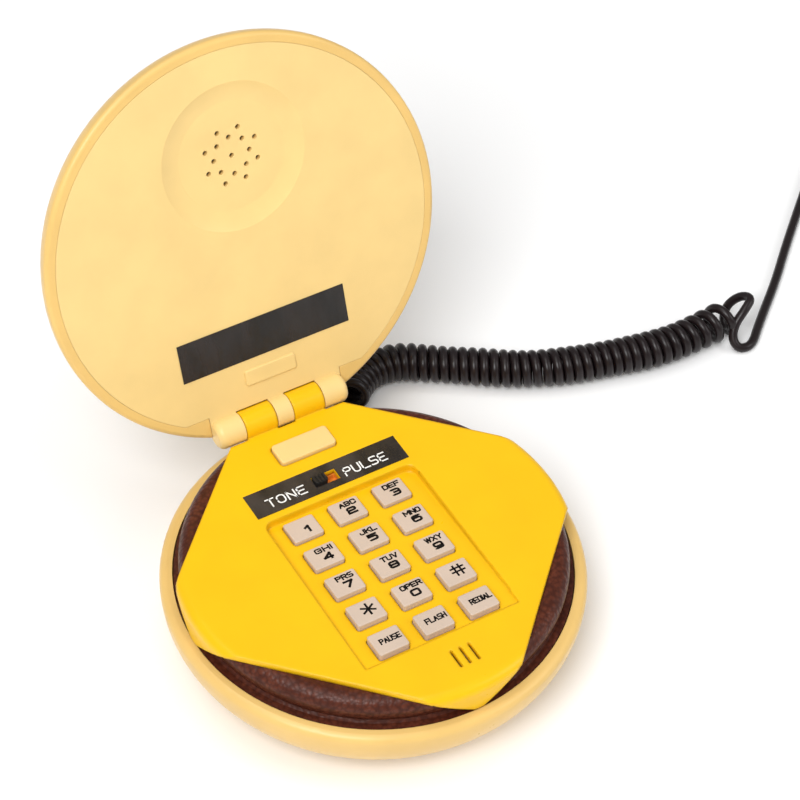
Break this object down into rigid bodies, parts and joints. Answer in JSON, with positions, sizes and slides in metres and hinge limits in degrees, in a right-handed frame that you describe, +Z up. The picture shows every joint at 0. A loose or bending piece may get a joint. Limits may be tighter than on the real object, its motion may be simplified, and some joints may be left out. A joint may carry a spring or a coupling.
{
  "type": "novelty telephone",
  "caption": "Clamshell desk telephone shaped like a hamburger, shown open, with push-button keypad, hinged earpiece lid, curly cord and line plug.",
  "frame": {"origin": "centre of the foot ring, on the surface that the phone stands on", "axes": "+Z up, +Y towards the hinge, +X to the right of someone at the keypad"},
  "size_m": [0.3454, 0.1802, 0.1495],
  "materials": {
    "bun": "satin moulded plastic",
    "bun_inside": "satin moulded plastic",
    "patty": "leather-grained moulded plastic",
    "cheese": "semi-gloss moulded plastic",
    "key_beige": "satin moulded plastic",
    "label_black": "printed film",
    "memo_black": "glossy film",
    "switch_amber": "moulded",
    "switch_black": "moulded",
    "board_green": "lacquered board",
    "screw_steel": "plated",
    "pin_steel": "ground",
    "membrane_grey": "moulded silicone",
    "rubber_black": "moulded",
    "capsule_metal": "drawn",
    "ringer_brass": "rolled",
    "lead_grey": "extruded",
    "cord_black": "extruded, semi-gloss",
    "foam_grey": "open-cell foam",
    "seed": "moulded",
    "plug_clear": "clear moulded"
  },
  "bodies": {
    "base": {"bottom_bun": "bun", "foot_ring": "rubber_black", "patty_ring": "patty", "cheese_plate": "cheese", "mode_label": "label_black", "mode_switch_body": "switch_amber", "main_pcb": "board_green", "pcb_screws": "screw_steel", "base_screws": "screw_steel", "keypad_membrane": "membrane_grey", "mic_boot": "rubber_black", "mic_capsule": "capsule_metal", "hook_switch_body": "switch_black", "ringer_disc": "ringer_brass", "strain_relief": "cord_black", "hinge_pin_left": "pin_steel", "hinge_pin_right": "pin_steel", "base_leads": "lead_grey", "curly_cord": "cord_black", "line_cord": "cord_black", "line_cord_coil": "cord_black", "line_cord_end": "cord_black", "line_plug": "plug_clear"},
    "lid": {"top_bun": "bun", "lid_inner_cover": "bun_inside", "memo_label": "memo_black", "earpiece_foam": "foam_grey", "earpiece_speaker": "capsule_metal", "lid_leads": "lead_grey", "sesame_seeds": "seed"},
    "hook_button": {"hook_button": "bun"},
    "mode_switch_knob": {"mode_switch_knob": "switch_black"},
    "key_1": {"key_1": "key_beige"},
    "key_2": {"key_2": "key_beige"},
    "key_3": {"key_3": "key_beige"},
    "key_4": {"key_4": "key_beige"},
    "key_5": {"key_5": "key_beige"},
    "key_6": {"key_6": "key_beige"},
    "key_7": {"key_7": "key_beige"},
    "key_8": {"key_8": "key_beige"},
    "key_9": {"key_9": "key_beige"},
    "key_star": {"key_star": "key_beige"},
    "key_0": {"key_0": "key_beige"},
    "key_hash": {"key_hash": "key_beige"},
    "key_pause": {"key_pause": "key_beige"},
    "key_flash": {"key_flash": "key_beige"},
    "key_redial": {"key_redial": "key_beige"}
  },
  "joints": [
    {"name": "lid_hinge", "type": "hinge", "parent": "base", "child": "lid", "pos_m": [0, 0.0573, 0.03733], "axis": [1, 0, 0], "range_deg": [0, 109.6]},
    {"name": "hook_button_press", "type": "slide", "parent": "base", "child": "hook_button", "axis": [0, 0, -1], "range_m": [0, 0.0015], "stiffness_N_per_m": 400},
    {"name": "mode_switch_slide", "type": "slide", "parent": "base", "child": "mode_switch_knob", "axis": [1, 0, 0], "range_m": [0, 0.0034]},
    {"name": "key_1_press", "type": "slide", "parent": "base", "child": "key_1", "axis": [0, -0.0499, -0.9988], "range_m": [0, 0.0008], "stiffness_N_per_m": 600},
    {"name": "key_2_press", "type": "slide", "parent": "base", "child": "key_2", "axis": [0, -0.0499, -0.9988], "range_m": [0, 0.0008], "stiffness_N_per_m": 600},
    {"name": "key_3_press", "type": "slide", "parent": "base", "child": "key_3", "axis": [0, -0.0499, -0.9988], "range_m": [0, 0.0008], "stiffness_N_per_m": 600},
    {"name": "key_4_press", "type": "slide", "parent": "base", "child": "key_4", "axis": [0, -0.0499, -0.9988], "range_m": [0, 0.0008], "stiffness_N_per_m": 600},
    {"name": "key_5_press", "type": "slide", "parent": "base", "child": "key_5", "axis": [0, -0.0499, -0.9988], "range_m": [0, 0.0008], "stiffness_N_per_m": 600},
    {"name": "key_6_press", "type": "slide", "parent": "base", "child": "key_6", "axis": [0, -0.0499, -0.9988], "range_m": [0, 0.0008], "stiffness_N_per_m": 600},
    {"name": "key_7_press", "type": "slide", "parent": "base", "child": "key_7", "axis": [0, -0.0499, -0.9988], "range_m": [0, 0.0008], "stiffness_N_per_m": 600},
    {"name": "key_8_press", "type": "slide", "parent": "base", "child": "key_8", "axis": [0, -0.0499, -0.9988], "range_m": [0, 0.0008], "stiffness_N_per_m": 600},
    {"name": "key_9_press", "type": "slide", "parent": "base", "child": "key_9", "axis": [0, -0.0499, -0.9988], "range_m": [0, 0.0008], "stiffness_N_per_m": 600},
    {"name": "key_star_press", "type": "slide", "parent": "base", "child": "key_star", "axis": [0, -0.0499, -0.9988], "range_m": [0, 0.0008], "stiffness_N_per_m": 600},
    {"name": "key_0_press", "type": "slide", "parent": "base", "child": "key_0", "axis": [0, -0.0499, -0.9988], "range_m": [0, 0.0008], "stiffness_N_per_m": 600},
    {"name": "key_hash_press", "type": "slide", "parent": "base", "child": "key_hash", "axis": [0, -0.0499, -0.9988], "range_m": [0, 0.0008], "stiffness_N_per_m": 600},
    {"name": "key_pause_press", "type": "slide", "parent": "base", "child": "key_pause", "axis": [0, -0.0499, -0.9988], "range_m": [0, 0.0008], "stiffness_N_per_m": 600},
    {"name": "key_flash_press", "type": "slide", "parent": "base", "child": "key_flash", "axis": [0, -0.0499, -0.9988], "range_m": [0, 0.0008], "stiffness_N_per_m": 600},
    {"name": "key_redial_press", "type": "slide", "parent": "base", "child": "key_redial", "axis": [0, -0.0499, -0.9988], "range_m": [0, 0.0008], "stiffness_N_per_m": 600}
  ]
}
